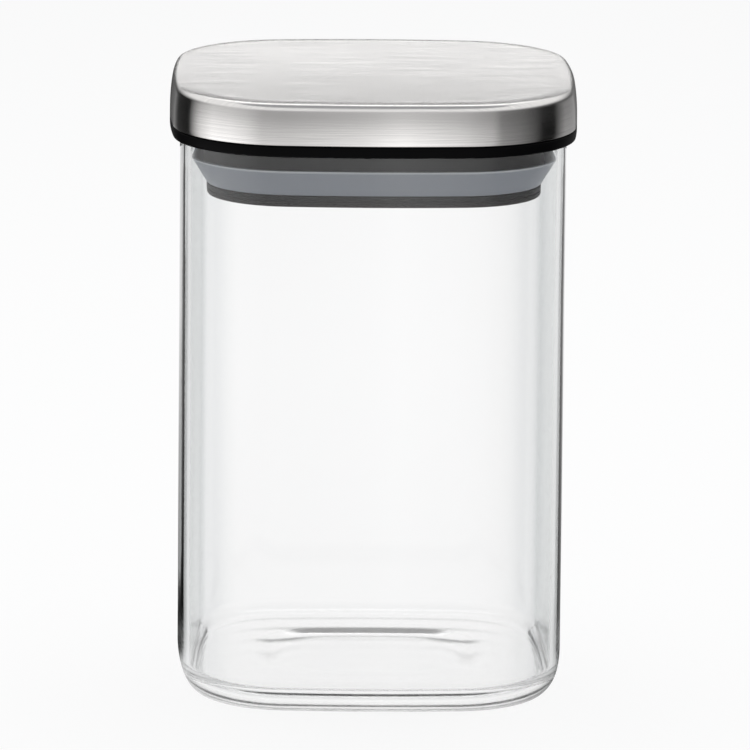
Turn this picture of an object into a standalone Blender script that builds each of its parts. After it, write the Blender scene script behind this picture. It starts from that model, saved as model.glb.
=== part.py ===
"""Square glass storage canister with a lift-off lid.

Five pieces: a glass jar, and a lid made of a pressed steel cover, a moulded base, a flared
silicone gasket and a cap that closes the plug from below. Metres, +Z up, the origin under the
centre of the jar. Every piece follows one plan, a square with bulged sides and round corners,
moved inwards by an inset, so walls and clearances stay even all the way round.
"""

import math

import bmesh
import bpy

# Plan of the jar
JAR_HALF_WIDTH = 0.050
SIDE_BULGE_RADIUS = 0.280
CORNER_RADIUS = 0.028

# Jar
JAR_HEIGHT = 0.148
JAR_WALL = 0.002
FLOOR_THICKNESS = 0.0057
FLOOR_FILLET = 0.0045
FOOT_ROUNDING_IN = 0.0067
FOOT_ROUNDING_UP = 0.0098
DISH_RADIUS = 0.028  # the shallow round push-up under the jar
DISH_DEPTH = 0.0012

# Clearances
SEAT_GAP = 0.0003  # between pieces that rest on, or fit round, each other
RIM_CLEARANCE = 0.0004  # between the lid's ring and the outside of the jar's rim

# Lid: pressed steel cover
LID_OVERHANG = 0.00265  # how far the lid stands out past the jar
COVER_SHEET = 0.0005
COVER_HEIGHT = 0.0107
COVER_DRAFT = 0.0006  # how far the skirt leans in between its edge and its fold
COVER_FOLD_RADIUS = 0.0011
SHOULDER_WIDTH = 0.0050  # the gently rolled border round the flat top
SHOULDER_DROP = 0.0006

# Lid: moulded base
RING_BELOW_RIM = 0.00175  # how far the ring reaches down past the jar's rim
RING_BAND = 0.00275  # height of the ring that shows under the cover
RING_EDGE_RADIUS = 0.0007
WEB_THICKNESS = 0.0020
UPSTAND_WALL = 0.0015
PLUG_INSET = 0.0054  # from the jar's outside to the plug's upper wall
PLUG_DEPTH = 0.0147  # from the rim seat down to the underside of the plug's flange
PLUG_WALL = 0.0018
PLUG_FLANGE_HEIGHT = 0.0012
PLUG_FLANGE_SETBACK = 0.0008  # how much further in the flange stands than the plug's upper wall
GROOVE_DEPTH = 0.0024  # how far the gasket's groove is cut into the plug
GROOVE_HEIGHT = 0.0035

# Lid: silicone gasket
LIP_RISE = 0.0069  # from the gasket's foot up to the tip of its lip
LIP_THICKNESS = 0.0009
LIP_BULGE = 0.0006  # how far the lip's outer face stands out from a straight cone

# Lid: plug cap
CAP_PLATE = 0.0013
CAP_EDGE_RADIUS = 0.0007
SPIGOT_HEIGHT = 0.0034
SPIGOT_WALL = 0.0014

# Facets
SIDE_STEPS = 4  # even, so that a point lies at the middle of each side
CORNER_STEPS = 8
ARC_STEPS = 4
LIP_STEPS = 5
MERGE_DISTANCE = 0.000001
SHARP_ANGLE = math.radians(30.0)

# Places that follow from the sizes above; an inset is measured inwards from the jar's outside
LID_INSET = -LID_OVERHANG
SEAT_Z = JAR_HEIGHT + SEAT_GAP
RING_BOTTOM_Z = JAR_HEIGHT - RING_BELOW_RIM
RING_TOP_Z = RING_BOTTOM_Z + RING_BAND
COVER_BOTTOM_Z = RING_TOP_Z + SEAT_GAP
COVER_TOP_Z = COVER_BOTTOM_Z + COVER_HEIGHT
FLANGE_BOTTOM_Z = SEAT_Z - PLUG_DEPTH
GROOVE_BOTTOM_Z = FLANGE_BOTTOM_Z + PLUG_FLANGE_HEIGHT
GROOVE_TOP_Z = GROOVE_BOTTOM_Z + GROOVE_HEIGHT
GROOVE_INSET = PLUG_INSET + GROOVE_DEPTH
PLUG_FLANGE_INSET = PLUG_INSET + PLUG_FLANGE_SETBACK
PLUG_BORE_INSET = GROOVE_INSET + PLUG_WALL


def plan_points(inset):
    """One turn round the plan at this inset, anticlockwise from a corner."""
    reach = SIDE_BULGE_RADIUS - JAR_HALF_WIDTH
    gap = SIDE_BULGE_RADIUS - CORNER_RADIUS
    corner = (math.sqrt(2.0 * gap * gap - reach * reach) - reach) / 2.0
    half_side = math.atan2(corner, reach + corner)
    corner_turn = math.pi / 2.0 - 2.0 * half_side
    arcs = []
    for step in range(SIDE_STEPS):
        angle = half_side * (2.0 * step / SIDE_STEPS - 1.0)
        arcs.append((0.0, reach, SIDE_BULGE_RADIUS - inset, angle))
    for step in range(CORNER_STEPS):
        angle = half_side + corner_turn * step / CORNER_STEPS
        arcs.append((corner, -corner, CORNER_RADIUS - inset, angle))
    points = []
    for quarter in range(4):
        cosine, sine = ((1, 0), (0, 1), (-1, 0), (0, -1))[quarter]
        for centre_x, centre_y, radius, angle in arcs:
            x = centre_x + radius * math.sin(angle)
            y = centre_y - radius * math.cos(angle)
            points.append((x * cosine - y * sine, x * sine + y * cosine))
    return points


def round_points(radius):
    """A circle whose points lie in the same directions as those of the plan."""
    angles = [math.atan2(y, x) for x, y in plan_points(0.0)]
    return [(radius * math.cos(angle), radius * math.sin(angle)) for angle in angles]


def arc(inset, z, across, up, start, end):
    """(inset, z) points along part of an ellipse; 0 degrees is its outermost point, 90 its top."""
    points = []
    for step in range(ARC_STEPS + 1):
        angle = math.radians(start + (end - start) * step / ARC_STEPS)
        points.append((inset - across * math.cos(angle), z + up * math.sin(angle)))
    return points


def first_ring(mesh, outline, z):
    ring = [mesh.verts.new((x, y, z)) for x, y in outline]
    for index, vert in enumerate(ring):
        mesh.edges.new((ring[index - 1], vert))
    return ring


def extrude_ring(mesh, ring, outline, z):
    """Extrudes the ring's edges and moves the new ring onto the next outline."""
    edges = [mesh.edges.get((ring[index - 1], vert)) for index, vert in enumerate(ring)]
    grown = bmesh.ops.extrude_edge_only(mesh, edges=edges)["geom"]
    copies = {tuple(item.co): item for item in grown if isinstance(item, bmesh.types.BMVert)}
    moved = [copies[tuple(vert.co)] for vert in ring]
    for vert, (x, y) in zip(moved, outline):
        vert.co = (x, y, z)
    return moved


def make_piece(name, outlines, closed, material):
    """Joins the outlines, each (points, z), into one body: a closed tube, or one capped at its ends."""
    mesh = bmesh.new()
    ring = start = first_ring(mesh, *outlines[0])
    for outline, z in outlines[1:]:
        ring = extrude_ring(mesh, ring, outline, z)
    if closed:
        extrude_ring(mesh, ring, *outlines[0])
        bmesh.ops.remove_doubles(mesh, verts=mesh.verts, dist=MERGE_DISTANCE)
    else:
        mesh.faces.new(start)
        mesh.faces.new(ring)
    bmesh.ops.recalc_face_normals(mesh, faces=mesh.faces)
    data = bpy.data.meshes.new(name)
    mesh.to_mesh(data)
    mesh.free()
    data.shade_smooth()
    data.set_sharp_from_angle(angle=SHARP_ANGLE)
    data.materials.append(material)
    piece = bpy.data.objects.new(name, data)
    bpy.context.scene.collection.objects.link(piece)
    return piece


def make_lofted(name, profile, closed, material):
    return make_piece(name, [(plan_points(inset), z) for inset, z in profile], closed, material)


def make_material(name, color, roughness, metallic=0.0, transmission=0.0):
    material = bpy.data.materials.new(name)
    material.use_nodes = True
    shader = material.node_tree.nodes["Principled BSDF"]
    shader.inputs["Base Color"].default_value = (*color, 1.0)
    shader.inputs["Roughness"].default_value = roughness
    shader.inputs["Metallic"].default_value = metallic
    shader.inputs["Transmission Weight"].default_value = transmission
    return material


def build_jar():
    glass = make_material("borosilicate_glass", (0.93, 0.96, 0.96), 0.02, transmission=1.0)
    fillet_inset = JAR_WALL + FLOOR_FILLET
    fillet_z = FLOOR_THICKNESS + FLOOR_FILLET
    half_wall = JAR_WALL / 2.0
    profile = arc(fillet_inset, fillet_z, FLOOR_FILLET, FLOOR_FILLET, -90.0, 0.0)
    profile += arc(half_wall, JAR_HEIGHT - half_wall, half_wall, half_wall, 180.0, 0.0)
    profile += arc(
        FOOT_ROUNDING_IN, FOOT_ROUNDING_UP, FOOT_ROUNDING_IN, FOOT_ROUNDING_UP, 0.0, -90.0
    )
    outlines = [(plan_points(inset), z) for inset, z in profile]
    for share in (1.0, 0.7, 0.35):
        outlines.append((round_points(DISH_RADIUS * share), DISH_DEPTH * (1.0 - share * share)))
    return make_piece("glass_jar", outlines, False, glass)


def cover_side(depth):
    """The cover's section from the edge of its flat top to its bottom edge, depth into the sheet."""
    slope = math.atan(2.0 * SHOULDER_DROP / SHOULDER_WIDTH)
    fold_inset = LID_INSET + COVER_DRAFT + COVER_FOLD_RADIUS
    fold_z = COVER_TOP_Z - SHOULDER_DROP - COVER_FOLD_RADIUS * math.cos(slope)
    shoulder_inset = fold_inset - COVER_FOLD_RADIUS * math.sin(slope)
    points = []
    for step in range(ARC_STEPS):
        share = step / ARC_STEPS
        inset = shoulder_inset + SHOULDER_WIDTH * (1.0 - share)
        points.append((inset, COVER_TOP_Z - depth - SHOULDER_DROP * share * share))
    radius = COVER_FOLD_RADIUS - depth
    points += arc(fold_inset, fold_z, radius, radius, 90.0 - math.degrees(slope), 0.0)
    return points + [(LID_INSET + depth, COVER_BOTTOM_Z)]


def build_lid_cover():
    steel = make_material("brushed_stainless_steel", (0.62, 0.61, 0.60), 0.32, metallic=1.0)
    profile = cover_side(0.0) + cover_side(COVER_SHEET)[::-1]
    return make_lofted("lid_cover", profile, False, steel)


def build_lid_base():
    plastic = make_material("black_moulded_plastic", (0.02, 0.02, 0.022), 0.35)
    upstand_outer = LID_INSET + COVER_SHEET + COVER_DRAFT + SEAT_GAP
    upstand_inner = upstand_outer + UPSTAND_WALL
    upstand_top = COVER_TOP_Z - SHOULDER_DROP - COVER_FOLD_RADIUS - SEAT_GAP
    edge = RING_EDGE_RADIUS
    profile = [(upstand_inner, SEAT_Z + WEB_THICKNESS), (upstand_inner, upstand_top)]
    profile += [(upstand_outer, upstand_top), (upstand_outer, RING_TOP_Z), (LID_INSET, RING_TOP_Z)]
    profile += arc(LID_INSET + edge, RING_BOTTOM_Z + edge, edge, edge, 0.0, -90.0)
    profile += [(-RIM_CLEARANCE, RING_BOTTOM_Z), (-RIM_CLEARANCE, SEAT_Z), (PLUG_INSET, SEAT_Z)]
    profile += [(PLUG_INSET, GROOVE_TOP_Z), (GROOVE_INSET, GROOVE_TOP_Z)]
    profile += [(GROOVE_INSET, GROOVE_BOTTOM_Z), (PLUG_FLANGE_INSET, GROOVE_BOTTOM_Z)]
    profile += [(PLUG_FLANGE_INSET, FLANGE_BOTTOM_Z), (PLUG_BORE_INSET, FLANGE_BOTTOM_Z)]
    profile += [(PLUG_BORE_INSET, SEAT_Z)]
    return make_lofted("lid_base", profile, False, plastic)


def lip_point(share, depth):
    """A point on the lip, from its foot at share 0 to its tip at 1, depth into the silicone."""
    foot_inset = PLUG_FLANGE_INSET
    tip_inset = JAR_WALL + SEAT_GAP
    inset = foot_inset + (tip_inset - foot_inset) * share - LIP_BULGE * math.sin(math.pi * share)
    return (inset + depth, GROOVE_BOTTOM_Z + SEAT_GAP + LIP_RISE * share)


def build_gasket():
    silicone = make_material("grey_silicone", (0.30, 0.33, 0.37), 0.45, transmission=0.3)
    foot_z = GROOVE_BOTTOM_Z + SEAT_GAP
    head_z = GROOVE_TOP_Z - SEAT_GAP
    bead_inset = GROOVE_INSET - SEAT_GAP
    root = (head_z - foot_z) / LIP_RISE
    profile = [lip_point(step / LIP_STEPS, 0.0) for step in range(LIP_STEPS + 1)]
    for step in range(LIP_STEPS):
        share = 1.0 + (root - 1.0) * step / (LIP_STEPS - 1)
        profile.append(lip_point(share, LIP_THICKNESS))
    profile += [(bead_inset, head_z), (bead_inset, foot_z)]
    return make_lofted("silicone_gasket", profile, True, silicone)


def build_plug_cap():
    plastic = make_material("black_moulded_plastic_cap", (0.03, 0.028, 0.03), 0.35)
    plate_top = FLANGE_BOTTOM_Z - SEAT_GAP
    plate_bottom = plate_top - CAP_PLATE
    spigot_outer = PLUG_BORE_INSET + SEAT_GAP
    spigot_inner = spigot_outer + SPIGOT_WALL
    spigot_top = plate_top + SPIGOT_HEIGHT
    edge = CAP_EDGE_RADIUS
    profile = [(spigot_inner, plate_top), (spigot_inner, spigot_top), (spigot_outer, spigot_top)]
    profile += [(spigot_outer, plate_top), (PLUG_FLANGE_INSET, plate_top)]
    profile += arc(PLUG_FLANGE_INSET + edge, plate_bottom + edge, edge, edge, 0.0, -90.0)
    return make_lofted("plug_cap", profile, False, plastic)


def main():
    for leftover in list(bpy.data.objects):
        bpy.data.objects.remove(leftover)
    jar = build_jar()
    lid_base = build_lid_base()
    lid_base.parent = jar
    for piece in (build_lid_cover(), build_gasket(), build_plug_cap()):
        piece.parent = lid_base


main()
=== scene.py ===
import math

import bmesh
import bpy
from mathutils import Matrix, Vector


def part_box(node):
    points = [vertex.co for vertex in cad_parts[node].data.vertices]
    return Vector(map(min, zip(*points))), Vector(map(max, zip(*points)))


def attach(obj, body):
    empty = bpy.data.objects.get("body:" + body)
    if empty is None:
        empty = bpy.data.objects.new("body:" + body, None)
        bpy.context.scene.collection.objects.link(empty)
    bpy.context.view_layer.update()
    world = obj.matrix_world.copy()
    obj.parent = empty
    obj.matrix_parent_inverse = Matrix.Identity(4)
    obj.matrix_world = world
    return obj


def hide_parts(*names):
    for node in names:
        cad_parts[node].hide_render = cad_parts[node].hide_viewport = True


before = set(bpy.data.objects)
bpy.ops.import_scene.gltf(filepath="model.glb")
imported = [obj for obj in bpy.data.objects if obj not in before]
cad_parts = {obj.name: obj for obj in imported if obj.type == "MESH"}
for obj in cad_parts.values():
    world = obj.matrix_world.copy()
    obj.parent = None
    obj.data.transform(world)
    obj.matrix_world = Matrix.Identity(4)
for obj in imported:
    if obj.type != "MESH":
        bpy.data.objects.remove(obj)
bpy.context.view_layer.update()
print("frame loaded:", ", ".join(sorted(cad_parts)))

jarLow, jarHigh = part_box("glass_jar")
coverLow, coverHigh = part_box("lid_cover")
baseLow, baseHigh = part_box("lid_base")
gasketLow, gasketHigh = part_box("silicone_gasket")
capLow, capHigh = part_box("plug_cap")


def toLinear(code):
    parts = [int(code[i:i + 2], 16) / 255.0 for i in (0, 2, 4)]
    linear = [p / 12.92 if p <= 0.04045 else ((p + 0.055) / 1.055) ** 2.4 for p in parts]
    return (*linear, 1.0)


def addNode(tree, kind, values=None, links=None, **settings):
    node = tree.nodes.new(kind)
    for name, value in settings.items():
        setattr(node, name, value)
    for key, value in (values or {}).items():
        node.inputs[key].default_value = value
    for key, source in (links or {}).items():
        tree.links.new(source, node.inputs[key])
    return node


def newMaterial(name):
    material = bpy.data.materials.new(name)
    material.use_nodes = True
    material.node_tree.nodes.clear()
    return material, material.node_tree


# Every piece follows one plan, a square with bulged sides and round corners.
# An inset is measured inwards from the outside of the jar; all lengths are in metres.
plan = {
    "halfWidth": jarHigh.x,
    "bulgeRadius": 0.280,  # of the four sides
    "cornerRadius": 0.028,
    "sideSteps": 16,  # even, so that a point lies at the middle of each side
    "cornerSteps": 28,
}


def outline(inset, z, share=1.0, fuller=0.0):
    # one turn round the plan, anticlockwise; share draws it in towards the middle,
    # and fuller rounds the corners more
    reach = plan["bulgeRadius"] - plan["halfWidth"]
    cornerRadius = plan["cornerRadius"] + fuller
    gap = plan["bulgeRadius"] - cornerRadius
    corner = (math.sqrt(2.0 * gap * gap - reach * reach) - reach) / 2.0
    halfSide = math.atan2(corner, reach + corner)
    cornerTurn = math.pi / 2.0 - 2.0 * halfSide
    points = []
    for quarter in range(4):
        turn = Matrix.Rotation(quarter * math.pi / 2.0, 3, "Z")
        for step in range(plan["sideSteps"]):
            angle = halfSide * (2.0 * step / plan["sideSteps"] - 1.0)
            radius = plan["bulgeRadius"] - inset
            side = Vector((radius * math.sin(angle), reach - radius * math.cos(angle), 0.0))
            points.append(turn @ side)
        for step in range(plan["cornerSteps"]):
            angle = halfSide + cornerTurn * step / plan["cornerSteps"]
            radius = cornerRadius - inset
            x = corner + radius * math.sin(angle)
            points.append(turn @ Vector((x, -corner - radius * math.cos(angle), 0.0)))
    return [Vector((p.x * share, p.y * share, z)) for p in points]


def circle(radius, z):
    # a round ring whose points lie in the same directions as those of the plan
    lift = Vector((0.0, 0.0, z))
    return [point.normalized() * radius + lift for point in outline(0.0, 0.0)]


def arc(inset, z, across, up, start, end, steps=8):
    # (inset, z) points on part of an ellipse; 0 degrees is its outermost point, 90 its top
    turns = [math.radians(start + (end - start) * step / steps) for step in range(steps + 1)]
    return [(inset - across * math.cos(turn), z + up * math.sin(turn)) for turn in turns]


def extrudeRing(mesh, ring, points):
    edges = [mesh.edges.get((ring[index - 1], vert)) for index, vert in enumerate(ring)]
    grown = bmesh.ops.extrude_edge_only(mesh, edges=edges)["geom"]
    copies = {tuple(item.co): item for item in grown if isinstance(item, bmesh.types.BMVert)}
    moved = [copies[tuple(vert.co)] for vert in ring]
    for vert, point in zip(moved, points):
        vert.co = point
    return moved


edgeFinish = {
    "sharpFrom": 35.0,  # degrees between faces, from which an edge is rounded over
    "shadeSharpFrom": 38.0,
    "segments": 3,
    "mergeDistance": 1e-7,
}


def makePiece(name, rings, material, closed=False, edgeRadius=0.0):
    # extrudes a ring through all the outlines; a closed piece joins up with its first ring
    mesh = bmesh.new()
    made = bmesh.ops.create_circle(mesh, cap_ends=False, radius=1.0, segments=len(rings[0]))
    ring = made["verts"]
    for vert, point in zip(ring, rings[0]):
        vert.co = point
    first = ring
    for points in rings[1:]:
        ring = extrudeRing(mesh, ring, points)
    if closed:
        extrudeRing(mesh, ring, rings[0])
        bmesh.ops.remove_doubles(mesh, verts=mesh.verts, dist=edgeFinish["mergeDistance"])
    else:
        for end in (first, ring):
            fill = mesh.faces.new(end)
            bmesh.ops.poke(mesh, faces=[fill])
    bmesh.ops.recalc_face_normals(mesh, faces=mesh.faces)
    mesh.normal_update()
    if edgeRadius:
        limit = math.radians(edgeFinish["sharpFrom"])
        sharp = [edge for edge in mesh.edges if edge.calc_face_angle(0.0) > limit]
        bmesh.ops.bevel(
            mesh, geom=sharp, offset=edgeRadius, offset_type="OFFSET",
            segments=edgeFinish["segments"], profile=0.5, affect="EDGES", clamp_overlap=True,
            material=-1,
        )
    data = bpy.data.meshes.new(name)
    mesh.to_mesh(data)
    mesh.free()
    data.shade_smooth()
    data.set_sharp_from_angle(angle=math.radians(edgeFinish["shadeSharpFrom"]))
    data.materials.append(material)
    piece = bpy.data.objects.new(name, data)
    bpy.context.scene.collection.objects.link(piece)
    return piece


def outlines(profile):
    return [outline(inset, z) for inset, z in profile]


# Borosilicate glass, pressed and fire polished: clear and colourless, with soft grey bands of
# painted shade near the edges of the jar and a foot that is slightly less polished
glassLook = {
    "tint": "FDFDFD",
    # tint of the upright walls from seen square on, 0, to seen edge on, 1; painted shade: grey
    # bands near the edges that stand in for the darker surroundings seen through the glass, chosen
    # to give those bands, not worked out from the thickness of the glass
    "turned": (
        (0.0, "FDFDFD"), (0.16, "FBFBFB"), (0.26, "F3F4F4"), (0.34, "EBECED"), (0.42, "EBECED"),
        (0.50, "F4F5F5"), (0.60, "F4F5F5"), (0.72, "E4E6E6"), (0.86, "CCCFCF"),
    ),
    "flatFrom": 0.6,  # how level a surface is when that painted shade has faded out
    "uprightTo": 0.1,
    "refraction": 1.47,
    "footFrost": 0.09,  # the pressed foot is a little less polished than the walls
    "footTop": 0.011,
    "waveStretch": 0.35,  # the waves run up the walls
    "waveLength": 0.034,  # metres from crest to crest of the drawn glass's slow unevenness
    "waveHeight": 0.000012,
    "shadowClear": 0.95,  # share of the light that goes straight through, for shadows
}


def makeGlass():
    material, tree = newMaterial("borosilicateGlass")
    place = addNode(tree, "ShaderNodeTexCoord")
    stretch = addNode(
        tree, "ShaderNodeMapping", {"Scale": (1.0, 1.0, glassLook["waveStretch"])},
        {"Vector": place.outputs["Object"]},
    )
    waves = addNode(
        tree, "ShaderNodeTexNoise",
        {"Scale": 1.0 / glassLook["waveLength"], "Detail": 1.0, "Roughness": 0.4},
        {"Vector": stretch.outputs["Vector"]},
    )
    uneven = addNode(
        tree, "ShaderNodeBump", {"Strength": 1.0, "Distance": glassLook["waveHeight"]},
        {"Height": waves.outputs["Fac"]},
    )
    facing = addNode(tree, "ShaderNodeLayerWeight", {"Blend": 0.5})
    slant = addNode(tree, "ShaderNodeSeparateXYZ", None, {"Vector": place.outputs["Normal"]})
    level = addNode(tree, "ShaderNodeMath", None, {0: slant.outputs["Z"]}, operation="ABSOLUTE")
    upright = addNode(
        tree, "ShaderNodeMapRange",
        {"From Min": glassLook["uprightTo"], "From Max": glassLook["flatFrom"], "To Min": 1.0,
         "To Max": 0.0},
        {"Value": level.outputs["Value"]},
    )
    # painted shade: this ramp greys the walls in bands by how far they are turned from square on
    turned = addNode(tree, "ShaderNodeValToRGB", None, {"Fac": facing.outputs["Facing"]})
    stops = turned.color_ramp.elements
    for index, (amount, code) in enumerate(glassLook["turned"]):
        stop = stops[index] if index < 2 else stops.new(amount)
        stop.position = amount
        stop.color = toLinear(code)
    tint = addNode(
        tree, "ShaderNodeMix", {"A": toLinear(glassLook["tint"])},
        {"Factor": upright.outputs["Result"], "B": turned.outputs["Color"]}, data_type="RGBA",
    )
    height = addNode(tree, "ShaderNodeSeparateXYZ", None, {"Vector": place.outputs["Object"]})
    frost = addNode(
        tree, "ShaderNodeMapRange",
        {"From Min": glassLook["footTop"] * 0.5, "From Max": glassLook["footTop"],
         "To Min": glassLook["footFrost"], "To Max": 0.0},
        {"Value": height.outputs["Z"]},
    )
    glass = addNode(
        tree, "ShaderNodeBsdfPrincipled",
        {"IOR": glassLook["refraction"], "Transmission Weight": 1.0},
        {"Base Color": tint.outputs["Result"], "Roughness": frost.outputs["Result"],
         "Normal": uneven.outputs["Normal"]},
    )
    clear = addNode(
        tree, "ShaderNodeBsdfTransparent", {"Color": (glassLook["shadowClear"],) * 3 + (1.0,)}
    )
    path = addNode(tree, "ShaderNodeLightPath")
    throughRay = addNode(
        tree, "ShaderNodeMath", None,
        {0: path.outputs["Is Shadow Ray"], 1: path.outputs["Is Diffuse Ray"]}, operation="MAXIMUM",
    )
    mix = addNode(
        tree, "ShaderNodeMixShader", None,
        {0: throughRay.outputs["Value"], 1: glass.outputs["BSDF"], 2: clear.outputs["BSDF"]},
    )
    addNode(tree, "ShaderNodeOutputMaterial", None, {"Surface": mix.outputs["Shader"]})
    return material


# Brushed stainless steel, a pressed sheet with a directional satin finish: fine streaks that
# spread a light across the brushing and keep it narrow along it
steelLook = {
    "bright": "E9E7E5",
    "dull": "D8D6D5",
    "roughness": 0.18,
    "roughnessSpread": 0.05,
    "anisotropic": 0.85,
    "streakWidth": 0.00022,  # finer on the real sheet, drawn this coarse so that it shows
    "streakLength": 0.026,
    "streakHeight": 0.0000019,
    "turnOver": 0.0004,  # metres above and below the fold, where the brushing changes direction
}


def makeSteel(foldHeight):
    material, tree = newMaterial("brushedStainlessSteel")
    place = addNode(tree, "ShaderNodeTexCoord")
    across = 1.0 / steelLook["streakWidth"]
    along = 1.0 / steelLook["streakLength"]
    position = addNode(tree, "ShaderNodeSeparateXYZ", None, {"Vector": place.outputs["Object"]})
    onTop = addNode(
        tree, "ShaderNodeMapRange",
        {"From Min": foldHeight - steelLook["turnOver"],
         "From Max": foldHeight + steelLook["turnOver"]},
        {"Value": position.outputs["Z"]},
    )
    topRun = addNode(
        tree, "ShaderNodeMapping", {"Scale": (along, across, along)},
        {"Vector": place.outputs["Object"]},
    )
    sideRun = addNode(
        tree, "ShaderNodeMapping", {"Scale": (along, along, across)},
        {"Vector": place.outputs["Object"]},
    )
    streaks = []
    for run in (topRun, sideRun):
        fine = addNode(
            tree, "ShaderNodeTexNoise", {"Scale": 1.0, "Detail": 3.0, "Roughness": 0.62},
            {"Vector": run.outputs["Vector"]},
        )
        streaks.append(fine)
    streak = addNode(
        tree, "ShaderNodeMix", None,
        {"Factor": onTop.outputs["Result"], "A": streaks[1].outputs["Fac"],
         "B": streaks[0].outputs["Fac"]},
        data_type="FLOAT",
    )
    shade = addNode(
        tree, "ShaderNodeMapRange", {"From Min": 0.32, "From Max": 0.68},
        {"Value": streak.outputs["Result"]},
    )
    color = addNode(
        tree, "ShaderNodeMix",
        {"A": toLinear(steelLook["dull"]), "B": toLinear(steelLook["bright"])},
        {"Factor": shade.outputs["Result"]}, data_type="RGBA",
    )
    polish = addNode(
        tree, "ShaderNodeMapRange",
        {"To Min": steelLook["roughness"] + steelLook["roughnessSpread"],
         "To Max": steelLook["roughness"] - steelLook["roughnessSpread"]},
        {"Value": shade.outputs["Result"]},
    )
    grooves = addNode(
        tree, "ShaderNodeBump", {"Strength": 1.0, "Distance": steelLook["streakHeight"]},
        {"Height": streak.outputs["Result"]},
    )
    spread = addNode(
        tree, "ShaderNodeMix", {"A": (0.0, 0.0, 1.0), "B": (0.0, 1.0, 0.0)},
        {"Factor": onTop.outputs["Result"]}, data_type="VECTOR",
    )
    steel = addNode(
        tree, "ShaderNodeBsdfPrincipled",
        {"Metallic": 1.0, "Anisotropic": steelLook["anisotropic"]},
        {"Base Color": color.outputs["Result"], "Roughness": polish.outputs["Result"],
         "Normal": grooves.outputs["Normal"], "Tangent": spread.outputs["Result"]},
    )
    addNode(tree, "ShaderNodeOutputMaterial", None, {"Surface": steel.outputs["BSDF"]})
    return material


# Injection-moulded polypropylene, near black, with a fine eroded grain that softens its gloss
plasticLook = {
    "ring": "060607",
    "cap": "120E0D",
    "roughness": 0.42,
    "grainSize": 0.0004,
    "grainHeight": 0.0000015,
    "flowScale": 60.0,  # per metre, the slow marks of the melt's flow in the gloss
    "refraction": 1.49,
    "shine": 0.05,
}


def makePlastic(name, code):
    material, tree = newMaterial(name)
    place = addNode(tree, "ShaderNodeTexCoord")
    grain = addNode(
        tree, "ShaderNodeTexNoise",
        {"Scale": 1.0 / plasticLook["grainSize"], "Detail": 2.0, "Roughness": 0.5},
        {"Vector": place.outputs["Object"]},
    )
    flow = addNode(
        tree, "ShaderNodeTexNoise",
        {"Scale": plasticLook["flowScale"], "Detail": 3.0, "Roughness": 0.55},
        {"Vector": place.outputs["Object"]},
    )
    polish = addNode(
        tree, "ShaderNodeMapRange",
        {"From Min": 0.3, "From Max": 0.7, "To Min": plasticLook["roughness"] - 0.04,
         "To Max": plasticLook["roughness"] + 0.06},
        {"Value": flow.outputs["Fac"]},
    )
    bump = addNode(
        tree, "ShaderNodeBump", {"Strength": 1.0, "Distance": plasticLook["grainHeight"]},
        {"Height": grain.outputs["Fac"]},
    )
    plastic = addNode(
        tree, "ShaderNodeBsdfPrincipled",
        {"Base Color": toLinear(code), "IOR": plasticLook["refraction"],
         "Specular IOR Level": plasticLook["shine"]},
        {"Roughness": polish.outputs["Result"], "Normal": bump.outputs["Normal"]},
    )
    addNode(tree, "ShaderNodeOutputMaterial", None, {"Surface": plastic.outputs["BSDF"]})
    return material


# Moulded silicone rubber, translucent grey: soft sheen, light glows a little way into it; the
# lighter band along the lip's top edge is a painted highlight
siliconeLook = {
    "grey": "7D828A",
    "paintedLipHighlight": "B9BDC1",  # painted highlight: a lighter grey along the lip's top edge
    "roughness": 0.42,
    "lipFrom": 0.0007,  # metres below the tip at which that painted highlight begins
    "lipFull": 0.0001,
    "bloomSize": 0.0035,
    "bloomHeight": 0.00002,
    "softness": 0.35,
    "lightReach": (0.0016, 0.0018, 0.002),  # metres that red, green and blue go into the rubber
    "refraction": 1.41,
}


def makeSilicone():
    material, tree = newMaterial("greySiliconeRubber")
    place = addNode(tree, "ShaderNodeTexCoord")
    bloom = addNode(
        tree, "ShaderNodeTexNoise",
        {"Scale": 1.0 / siliconeLook["bloomSize"], "Detail": 3.0, "Roughness": 0.5},
        {"Vector": place.outputs["Object"]},
    )
    polish = addNode(
        tree, "ShaderNodeMapRange",
        {"From Min": 0.3, "From Max": 0.7, "To Min": siliconeLook["roughness"] - 0.05,
         "To Max": siliconeLook["roughness"] + 0.08},
        {"Value": bloom.outputs["Fac"]},
    )
    bump = addNode(
        tree, "ShaderNodeBump", {"Strength": 0.3, "Distance": siliconeLook["bloomHeight"]},
        {"Height": bloom.outputs["Fac"]},
    )
    parts = addNode(tree, "ShaderNodeSeparateXYZ", None, {"Vector": place.outputs["Object"]})
    # painted highlight: the lip's top edge is coloured a lighter grey
    lipHighlightMask = addNode(
        tree, "ShaderNodeMapRange",
        {"From Min": gasketHigh.z - siliconeLook["lipFrom"],
         "From Max": gasketHigh.z - siliconeLook["lipFull"]},
        {"Value": parts.outputs["Z"]},
    )
    color = addNode(
        tree, "ShaderNodeMix",
        {"A": toLinear(siliconeLook["grey"]), "B": toLinear(siliconeLook["paintedLipHighlight"])},
        {"Factor": lipHighlightMask.outputs["Result"]}, data_type="RGBA",
    )
    silicone = addNode(
        tree, "ShaderNodeBsdfPrincipled",
        {"IOR": siliconeLook["refraction"], "Subsurface Weight": siliconeLook["softness"],
         "Subsurface Radius": siliconeLook["lightReach"], "Subsurface Scale": 1.0},
        {"Base Color": color.outputs["Result"], "Roughness": polish.outputs["Result"],
         "Normal": bump.outputs["Normal"]},
    )
    addNode(tree, "ShaderNodeOutputMaterial", None, {"Surface": silicone.outputs["BSDF"]})
    return material


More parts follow.
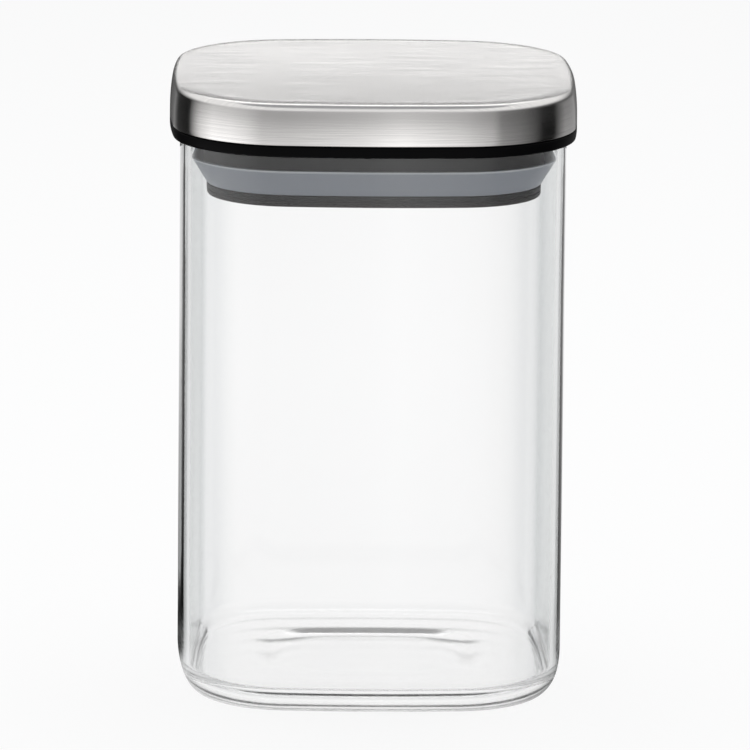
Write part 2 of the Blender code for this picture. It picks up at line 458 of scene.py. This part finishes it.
# The jar: even walls, a rounded rim, a thick floor with a fillet inside, a deep foot rounding
# and a shallow push-up under it.
jar = {
    "wall": 0.0020,
    "floor": 0.0057,
    "fillet": 0.0035,
    "fuller": -0.0002,  # the corners are blown a little thinner below the gasket
    "rimBead": 0.00012,  # the flame leaves the rim a little thicker than the wall
    "footIn": 0.0067,
    "footUp": 0.0098,
    "pushUpInset": 0.0187,  # it follows the plan, so its far side shows as a straight streak
    "pushUp": 0.0009,
    "pushUpFuller": 0.009,  # its corners are rounder than the jar's
    "pushUpRings": 13,
    "pushUpRise": 3.0,  # it has risen fully a third of the way in to its middle
    "lowRings": (0.030, 0.060, 0.090, 0.112),  # heights up the inner wall, in the fuller part
    "highRing": 0.132,
    "outerRings": (0.080, 0.030),
    "shoulderDepth": 0.012,  # below the rim, where the wall is still plain
    "beadDepth": 0.0028,
    "beadStart": 0.0045,
    "floorRing": 0.002,  # flat rings beside the fillet and the foot
    "footRing": 0.004,
}


def buildJar():
    top = jarHigh.z
    half = jar["wall"] / 2.0
    bead = jar["rimBead"]
    inside = jar["wall"] + jar["fillet"]
    lower = arc(inside, jar["floor"] + jar["fillet"], jar["fillet"], jar["fillet"], -90.0, 0.0, 14)
    lower += [(jar["wall"], height) for height in jar["lowRings"]]
    profile = [(jar["wall"], jar["highRing"]), (jar["wall"], top - jar["shoulderDepth"])]
    profile += [(jar["wall"], top - jar["beadStart"])]
    profile += [(jar["wall"] + bead * 0.5, top - jar["beadDepth"])]
    profile += arc(half + bead * 0.5, top - half, half + bead * 0.5, half, 180.0, 0.0, 18)
    profile += [(0.0, top - jar["beadDepth"]), (0.0, top - jar["shoulderDepth"])]
    profile += [(0.0, height) for height in jar["outerRings"]]
    profile += arc(jar["footIn"], jar["footUp"], jar["footIn"], jar["footUp"], 0.0, -90.0, 24)
    rings = [outline(inside + jar["floorRing"], jar["floor"], fuller=jar["fuller"])]
    rings += [outline(inset, z, fuller=jar["fuller"]) for inset, z in lower]
    rings += outlines(profile)
    rings.append(outline(jar["footIn"] + jar["footRing"], 0.0))
    for step in range(jar["pushUpRings"]):
        share = 1.0 - step / jar["pushUpRings"]
        edge = 0.5 - 0.5 * math.cos(math.pi * min(1.0, (1.0 - share) * jar["pushUpRise"]))
        height = jar["pushUp"] * edge
        rings.append(outline(jar["pushUpInset"], height, share, jar["pushUpFuller"]))
    piece = makePiece("jar", rings, glass)
    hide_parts("glass_jar")
    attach(piece, "jar")


# The cover: one pressed sheet with a slightly crowned top, a rolled shoulder, a tight fold and
# a skirt that leans in a little towards the fold.
cover = {
    "sheet": 0.0005,
    "overhang": coverHigh.x - jarHigh.x,
    "draft": 0.0006,
    "fold": 0.0020,
    "shoulder": 0.0045,
    "shoulderDrop": 0.00028,
    "crown": 0.00010,
    "edgeRound": 0.00018,
    "shoulderRings": 12,
    "foldEnd": 6.0,  # degrees above level at which the fold meets the skirt
    "skirtRings": 9,
    "leanPower": 2.4,  # the lean gathers towards the fold
    "topShares": (0.04, 0.12, 0.25, 0.4, 0.55, 0.7, 0.85, 0.94),  # rings out from the middle
    "underShares": (0.7, 0.3),
    "brushTurn": 0.6,  # how far down the fold the brushing changes direction
}


def coverSide(depth):
    # (inset, z) from the edge of the flat top to the lower edge, depth into the sheet
    slope = math.atan(2.0 * cover["shoulderDrop"] / cover["shoulder"])
    foldInset = cover["draft"] + cover["fold"] - cover["overhang"]
    shoulderTop = coverHigh.z - cover["crown"]
    foldZ = shoulderTop - cover["shoulderDrop"] + cover["crown"]
    foldZ -= cover["fold"] * math.cos(slope)
    shoulderInset = foldInset - cover["fold"] * math.sin(slope)
    profile = []
    for step in range(cover["shoulderRings"]):
        share = step / cover["shoulderRings"]
        drop = cover["shoulderDrop"] * share * share + cover["crown"] * (1.0 - share)
        inset = shoulderInset + cover["shoulder"] * (1.0 - share)
        profile.append((inset, coverHigh.z - depth - drop))
    radius = cover["fold"] - depth
    turned = 90.0 - math.degrees(slope)
    profile += arc(foldInset, foldZ, radius, radius, turned, cover["foldEnd"], 10)
    return profile


def skirtSide(depth):
    # the skirt below its fold: upright at the lower edge and leaning in more and more above it
    foldZ = coverHigh.z - cover["shoulderDrop"] - cover["fold"]
    profile = []
    for step in range(1, cover["skirtRings"]):
        share = 1.0 - step / cover["skirtRings"]
        height = coverLow.z + cover["edgeRound"] + (foldZ - coverLow.z) * share
        lean = cover["draft"] * share ** cover["leanPower"]
        profile.append((lean - cover["overhang"] + depth, height))
    return profile


def buildCover():
    outer = coverSide(0.0)
    inner = coverSide(cover["sheet"])
    bottom = coverLow.z
    edge = cover["edgeRound"]
    middle = cover["sheet"] / 2.0 - cover["overhang"]
    hem = arc(middle, bottom + edge, cover["sheet"] / 2.0, edge, 0.0, -180.0, 8)
    flatInset, flatZ = outer[0]
    rings = []
    for share in cover["topShares"]:
        rise = (coverHigh.z - flatZ) * (1.0 - share * share)
        rings.append(outline(flatInset, flatZ + rise, share))
    skirt = skirtSide(0.0) + hem + skirtSide(cover["sheet"])[::-1]
    rings += outlines(outer + skirt + inner[::-1])
    underside = flatZ - cover["sheet"]
    rings += [outline(flatInset, underside, share) for share in cover["underShares"]]
    piece = makePiece("steelCover", rings, steel)
    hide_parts("lid_cover")
    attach(piece, "lid")


# The base: the black ring that shows under the cover, the web over the jar's rim, and the plug
# that reaches down inside the jar, grooved for the gasket.
base = {
    "gap": 0.0003,  # to the cover, the gasket and the jar's rim
    "rimClearance": 0.0004,
    "ringHeight": 0.00275,
    "ringEdge": 0.0007,
    "web": 0.0020,
    "upstand": 0.0015,
    "plugInset": 0.0054,
    "plugWall": 0.0018,
    "flangeInset": 0.0062,
    "flange": 0.0012,
    "grooveDepth": 0.0024,
    "grooveHeight": 0.0035,
    "edgeRadius": 0.00022,
}
base["seat"] = jarHigh.z + base["gap"]
base["ringTop"] = coverLow.z - base["gap"]
base["outer"] = jarHigh.x - baseHigh.x
base["grooveInset"] = base["plugInset"] + base["grooveDepth"]
base["boreInset"] = base["grooveInset"] + base["plugWall"]
base["grooveBottom"] = baseLow.z + base["flange"]
base["grooveTop"] = base["grooveBottom"] + base["grooveHeight"]


def buildBase():
    outer = base["outer"]
    upOuter = outer + cover["sheet"] + cover["draft"] + base["gap"]
    upInner = upOuter + base["upstand"]
    ringLow = base["ringTop"] - base["ringHeight"]
    edge = base["ringEdge"]
    seat = base["seat"]
    profile = [(upInner, seat + base["web"]), (upInner, baseHigh.z), (upOuter, baseHigh.z)]
    profile += [(upOuter, base["ringTop"]), (outer, base["ringTop"])]
    profile += arc(outer + edge, ringLow + edge, edge, edge, 0.0, -90.0)
    profile += [(-base["rimClearance"], ringLow), (-base["rimClearance"], seat)]
    profile += [(base["plugInset"], seat), (base["plugInset"], base["grooveTop"])]
    profile += [(base["grooveInset"], base["grooveTop"])]
    profile += [(base["grooveInset"], base["grooveBottom"])]
    profile += [(base["flangeInset"], base["grooveBottom"]), (base["flangeInset"], baseLow.z)]
    profile += [(base["boreInset"], baseLow.z), (base["boreInset"], seat)]
    rings = outlines(profile)
    piece = makePiece("lidBase", rings, ringPlastic, edgeRadius=base["edgeRadius"])
    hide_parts("lid_base")
    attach(piece, "lid")


# The gasket: a bead held in the plug's groove and a thin lip that flares up to the jar's wall.
gasket = {
    "tipInset": jar["wall"] + base["gap"],
    "lip": 0.0009,
    "bulge": 0.0001,
    "steps": 16,
    "innerSteps": 12,  # the lip's inner side is shorter
    "edgeRadius": 0.00018,
}


def lipPoint(share, depth):
    foot = base["flangeInset"]
    inset = foot + (gasket["tipInset"] - foot) * share
    inset -= gasket["bulge"] * math.sin(math.pi * share)
    return (inset + depth, gasketLow.z + (gasketHigh.z - gasketLow.z) * share)


def buildGasket():
    steps = gasket["steps"]
    innerSteps = gasket["innerSteps"]
    headZ = base["grooveTop"] - base["gap"]
    root = (headZ - gasketLow.z) / (gasketHigh.z - gasketLow.z)
    bead = base["grooveInset"] - base["gap"]
    profile = [lipPoint(step / steps, 0.0) for step in range(steps + 1)]
    for step in range(innerSteps + 1):
        profile.append(lipPoint(1.0 + (root - 1.0) * step / innerSteps, gasket["lip"]))
    profile += [(bead, headZ), (bead, gasketLow.z)]
    rings = outlines(profile)
    piece = makePiece("gasket", rings, silicone, closed=True, edgeRadius=gasket["edgeRadius"])
    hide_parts("silicone_gasket")
    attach(piece, "lid")


# The cap: a plate that closes the plug from below, held by a spigot inside the plug.
cap = {
    "plate": 0.0013,
    "edge": 0.0007,
    "spigotWall": 0.0014,
    "gateRadius": 0.0022,  # the mark left by the mould's gate, in the middle of the underside
    "gateDepth": 0.00025,
    "gateTaper": 0.9,
    "edgeRadius": 0.0002,
}


def buildCap():
    plateTop = capLow.z + cap["plate"]
    outer = base["boreInset"] + base["gap"]
    inner = outer + cap["spigotWall"]
    edge = cap["edge"]
    profile = [(inner, plateTop), (inner, capHigh.z), (outer, capHigh.z), (outer, plateTop)]
    profile += [(base["flangeInset"], plateTop)]
    profile += arc(base["flangeInset"] + edge, capLow.z + edge, edge, edge, 0.0, -90.0)
    rings = outlines(profile)
    rings.append(circle(cap["gateRadius"], capLow.z))
    rings.append(circle(cap["gateRadius"] * cap["gateTaper"], capLow.z + cap["gateDepth"]))
    piece = makePiece("plugCap", rings, capPlastic, edgeRadius=cap["edgeRadius"])
    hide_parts("plug_cap")
    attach(piece, "lid")


glass = makeGlass()
steel = makeSteel(coverHigh.z - cover["shoulderDrop"] - cover["fold"] * cover["brushTurn"])
ringPlastic = makePlastic("blackPolypropylene", plasticLook["ring"])
capPlastic = makePlastic("brownBlackPolypropylene", plasticLook["cap"])
silicone = makeSilicone()
print("materials made")

buildJar()
print("jar built")
buildCover()
buildBase()
buildGasket()
buildCap()
print("lid built")

# Studio: a white table, and for reflections only a light tent and cards whose brightness differs
# from panel to panel; most of the steel's light and dark bands come from them
studio = {
    "white": "FCFCFC",
    "floorSize": 4.0,
    "floorGlow": 0.905,
    "floorAlbedo": 0.12,
    "floorDrop": 0.0001,  # just below the canister's foot
    "tentRadius": 0.50,
    "tentHeight": 1.1,
    "tentSegments": 96,
    "nearFloor": 0.5,  # brightness of the table close to the canister, as the steel reflects it
    "nearRadius": 0.15,
    "tentFoot": 0.97,
    "tentWaist": 0.36,
    "tentTop": 1.0,
    "waist": (0.06, 0.20),  # heights between which the tent dims from its foot to its waist
    "evenAbove": (0.24, 0.42),  # heights between which the panels give way to an even glow
    "cardBehind": 0.22,
    "cardWidth": 0.30,
    "cardFade": (0.2, 0.5),  # shares of the width, from the middle, where a card fades out
    # lower edge, upper edge and brightness of each card
    "cards": {
        "lowCard": (0.10, 0.187, 0.02),
        "whiteCard": (0.187, 0.208, 2.3),
        "greyCard": (0.208, 0.285, 0.04),
        "highCard": (0.285, 0.44, 2.0),
    },
    "horizon": (0.25, 0.6),  # upward share of a direction, over which the backdrop dims
    "zenith": 0.6,
    "fillColor": (0.95, 0.97, 1.0, 1.0),
    "fillStrength": 0.4,
    "lampPlace": (0.0, 0.25, 1.1),
    "lampAim": (0.0, 0.0, 0.1),
    "lampSize": (0.9, 0.9),
    "lampPower": 7.0,
    # direction in degrees, 0 towards the front and 90 towards +X, and brightness of the tent there
    "panels": (
        (-180, 1.30), (-172, 0.90), (-164, 0.38), (-140, 0.04), (-113, 0.0), (-107, 0.35),
        (-96, 1.00), (-80, 1.55), (-60, 1.50), (-45, 1.30), (-30, 0.93), (-10, 0.90), (0, 1.20),
        (4, 1.55), (8, 1.30), (14, 0.95), (34, 0.70), (42, 0.36), (60, 0.24), (76, 0.10),
        (86, 0.0), (102, 0.0), (112, 0.20), (122, 0.36), (160, 0.37), (172, 0.90), (180, 1.30),
    ),
}


def addStage(name, mesh, material):
    data = bpy.data.meshes.new(name)
    mesh.to_mesh(data)
    mesh.free()
    data.materials.append(material)
    shape = bpy.data.objects.new(name, data)
    bpy.context.scene.collection.objects.link(shape)
    return shape


def onlyReflected(shape):
    shape.visible_camera = False
    shape.visible_shadow = False
    shape.visible_diffuse = False
    shape.visible_transmission = False


def panelGlow(tree, place, strength):
    # a glow that takes its brightness from the direction in which it stands
    parts = addNode(tree, "ShaderNodeSeparateXYZ", None, {"Vector": place.outputs["Object"]})
    ahead = addNode(
        tree, "ShaderNodeMath", {1: -1.0}, {0: parts.outputs["Y"]}, operation="MULTIPLY"
    )
    turn = addNode(
        tree, "ShaderNodeMath", None, {0: parts.outputs["X"], 1: ahead.outputs["Value"]},
        operation="ARCTAN2",
    )
    share = addNode(
        tree, "ShaderNodeMapRange", {"From Min": -math.pi, "From Max": math.pi},
        {"Value": turn.outputs["Value"]},
    )
    panels = addNode(tree, "ShaderNodeValToRGB", None, {"Fac": share.outputs["Result"]})
    stops = panels.color_ramp.elements
    brightest = max(level for _, level in studio["panels"])
    for index, (angle, level) in enumerate(studio["panels"]):
        spot = (angle + 180.0) / 360.0
        stop = stops[0] if index == 0 else stops[-1] if spot == 1.0 else stops.new(spot)
        stop.position = spot
        stop.color = (level / brightest,) * 3 + (1.0,)
    scaled = addNode(
        tree, "ShaderNodeMath", {1: brightest}, {0: strength.outputs[0]}, operation="MULTIPLY"
    )
    return addNode(
        tree, "ShaderNodeEmission", None,
        {"Color": panels.outputs["Color"], "Strength": scaled.outputs["Value"]},
    )


def makeFloor():
    material, tree = newMaterial("whiteTable")
    place = addNode(tree, "ShaderNodeTexCoord")
    away = addNode(
        tree, "ShaderNodeVectorMath", None, {0: place.outputs["Object"]}, operation="LENGTH"
    )
    fade = addNode(
        tree, "ShaderNodeMapRange",
        {"From Min": studio["nearRadius"], "From Max": studio["tentRadius"],
         "To Min": studio["nearFloor"], "To Max": studio["tentFoot"]},
        {"Value": away.outputs["Value"]},
    )
    mirrored = panelGlow(tree, place, fade)
    paper = addNode(
        tree, "ShaderNodeBsdfDiffuse", {"Color": (studio["floorAlbedo"],) * 3 + (1.0,)}
    )
    glow = addNode(
        tree, "ShaderNodeEmission",
        {"Color": toLinear(studio["white"]), "Strength": studio["floorGlow"]},
    )
    total = addNode(
        tree, "ShaderNodeAddShader", None, {0: paper.outputs["BSDF"], 1: glow.outputs["Emission"]}
    )
    path = addNode(tree, "ShaderNodeLightPath")
    reflected = addNode(
        tree, "ShaderNodeMath", None,
        {0: path.outputs["Is Glossy Ray"], 1: path.outputs["Is Transmission Ray"]},
        operation="SUBTRACT", use_clamp=True,
    )
    mix = addNode(
        tree, "ShaderNodeMixShader", None,
        {0: reflected.outputs["Value"], 1: total.outputs["Shader"],
         2: mirrored.outputs["Emission"]},
    )
    addNode(tree, "ShaderNodeOutputMaterial", None, {"Surface": mix.outputs["Shader"]})
    mesh = bmesh.new()
    bmesh.ops.create_grid(mesh, x_segments=1, y_segments=1, size=studio["floorSize"])
    bmesh.ops.translate(mesh, vec=(0.0, 0.0, -studio["floorDrop"]), verts=mesh.verts)
    addStage("floor", mesh, material)


def makeTent():
    material, tree = newMaterial("tentPanels")
    place = addNode(tree, "ShaderNodeTexCoord")
    parts = addNode(tree, "ShaderNodeSeparateXYZ", None, {"Vector": place.outputs["Object"]})
    start, end = studio["waist"]
    low = addNode(
        tree, "ShaderNodeMapRange",
        {"From Min": start, "From Max": end, "To Min": studio["tentFoot"],
         "To Max": studio["tentWaist"]},
        {"Value": parts.outputs["Z"]},
    )
    panels = panelGlow(tree, place, low)
    even = addNode(
        tree, "ShaderNodeEmission", {"Color": (1.0, 1.0, 1.0, 1.0), "Strength": studio["tentTop"]}
    )
    start, end = studio["evenAbove"]
    high = addNode(
        tree, "ShaderNodeMapRange", {"From Min": start, "From Max": end},
        {"Value": parts.outputs["Z"]},
    )
    glow = addNode(
        tree, "ShaderNodeMixShader", None,
        {0: high.outputs["Result"], 1: panels.outputs["Emission"], 2: even.outputs["Emission"]},
    )
    addNode(tree, "ShaderNodeOutputMaterial", None, {"Surface": glow.outputs["Shader"]})
    mesh = bmesh.new()
    bmesh.ops.create_circle(
        mesh, cap_ends=False, radius=studio["tentRadius"], segments=studio["tentSegments"]
    )
    grown = bmesh.ops.extrude_edge_only(mesh, edges=mesh.edges[:])["geom"]
    upper = [item for item in grown if isinstance(item, bmesh.types.BMVert)]
    bmesh.ops.translate(mesh, vec=(0.0, 0.0, studio["tentHeight"]), verts=upper)
    onlyReflected(addStage("tent", mesh, material))


def makeBackCard(name, lower, upper, strength):
    # a card close behind the lid, for reflections only, that fades out towards its sides
    material, tree = newMaterial(name)
    glow = addNode(
        tree, "ShaderNodeEmission", {"Color": (1.0, 1.0, 1.0, 1.0), "Strength": strength}
    )
    place = addNode(tree, "ShaderNodeTexCoord")
    parts = addNode(tree, "ShaderNodeSeparateXYZ", None, {"Vector": place.outputs["Object"]})
    aside = addNode(tree, "ShaderNodeMath", None, {0: parts.outputs["X"]}, operation="ABSOLUTE")
    start, end = studio["cardFade"]
    fade = addNode(
        tree, "ShaderNodeMapRange",
        {"From Min": studio["cardWidth"] * start, "From Max": studio["cardWidth"] * end},
        {"Value": aside.outputs["Value"]}, interpolation_type="SMOOTHSTEP",
    )
    clear = addNode(tree, "ShaderNodeBsdfTransparent")
    mix = addNode(
        tree, "ShaderNodeMixShader", None,
        {0: fade.outputs["Result"], 1: glow.outputs["Emission"], 2: clear.outputs["BSDF"]},
    )
    addNode(tree, "ShaderNodeOutputMaterial", None, {"Surface": mix.outputs["Shader"]})
    mesh = bmesh.new()
    bmesh.ops.create_grid(mesh, x_segments=1, y_segments=1, size=0.5)
    bmesh.ops.rotate(mesh, matrix=Matrix.Rotation(math.pi / 2.0, 3, "X"), verts=mesh.verts)
    bmesh.ops.scale(mesh, vec=(studio["cardWidth"], 1.0, upper - lower), verts=mesh.verts)
    middle = (0.0, studio["cardBehind"], (lower + upper) / 2.0)
    bmesh.ops.translate(mesh, vec=middle, verts=mesh.verts)
    onlyReflected(addStage(name, mesh, material))


def makeWorld():
    world = bpy.data.worlds.new("studioWhite")
    bpy.context.scene.world = world
    world.use_nodes = True
    tree = world.node_tree
    tree.nodes.clear()
    place = addNode(tree, "ShaderNodeTexCoord")
    parts = addNode(tree, "ShaderNodeSeparateXYZ", None, {"Vector": place.outputs["Generated"]})
    start, end = studio["horizon"]
    high = addNode(
        tree, "ShaderNodeMapRange",
        {"From Min": start, "From Max": end, "To Min": 1.0, "To Max": studio["zenith"]},
        {"Value": parts.outputs["Z"]},
    )
    seen = addNode(
        tree, "ShaderNodeBackground", {"Color": toLinear(studio["white"])},
        {"Strength": high.outputs["Result"]},
    )
    fill = addNode(
        tree, "ShaderNodeBackground",
        {"Color": studio["fillColor"], "Strength": studio["fillStrength"]},
    )
    path = addNode(tree, "ShaderNodeLightPath")
    direct = addNode(
        tree, "ShaderNodeMath", None,
        {0: path.outputs["Is Camera Ray"], 1: path.outputs["Is Transmission Ray"]},
        operation="MAXIMUM",
    )
    mix = addNode(
        tree, "ShaderNodeMixShader", None,
        {0: direct.outputs["Value"], 1: fill.outputs["Background"], 2: seen.outputs["Background"]},
    )
    addNode(tree, "ShaderNodeOutputWorld", None, {"Surface": mix.outputs["Shader"]})


def makeLamp():
    data = bpy.data.lights.new("overhead", "AREA")
    data.shape = "RECTANGLE"
    data.size, data.size_y = studio["lampSize"]
    data.energy = studio["lampPower"]
    lamp = bpy.data.objects.new("overhead", data)
    lamp.location = studio["lampPlace"]
    beam = Vector(studio["lampAim"]) - Vector(studio["lampPlace"])
    lamp.rotation_euler = beam.to_track_quat("-Z", "Y").to_euler()
    lamp.visible_camera = False
    lamp.visible_glossy = False
    bpy.context.scene.collection.objects.link(lamp)


view = {
    "azimuth": -1.0,  # degrees and metres
    "elevation": 11.65,
    "distance": 2.391,
    "aim": (0.0011, 0.0, 0.07955),
    "roll": 0.53,
    "lens": 440.5,
    "sensor": 36.0,
    "clip": (0.05, 100.0),
}


def makeCamera():
    data = bpy.data.cameras.new("camera")
    data.sensor_width = view["sensor"]
    data.lens = view["lens"]
    camera = bpy.data.objects.new("camera", data)
    bpy.context.scene.collection.objects.link(camera)
    a, e = math.radians(view["azimuth"]), math.radians(view["elevation"])
    back = Vector((math.sin(a) * math.cos(e), -math.cos(a) * math.cos(e), math.sin(e)))
    camera.location = Vector(view["aim"]) + back * view["distance"]
    look = (-back).to_track_quat("-Z", "Y").to_matrix().to_4x4()
    tilt = Matrix.Rotation(math.radians(view["roll"]), 4, "Z")
    camera.rotation_euler = (look @ tilt).to_euler()
    data.clip_start, data.clip_end = view["clip"]
    bpy.context.scene.camera = camera


makeFloor()
makeTent()
for name, (lower, upper, strength) in studio["cards"].items():
    makeBackCard(name, lower, upper, strength)
makeWorld()
makeLamp()
makeCamera()
bounces = bpy.context.scene.cycles  # light that runs round inside the thick foot needs many turns
bounces.max_bounces, bounces.glossy_bounces, bounces.transmission_bounces = 32, 24, 32
bpy.context.scene.view_settings.view_transform = "Standard"
bpy.context.scene.view_settings.look = "None"
print("studio and camera set")
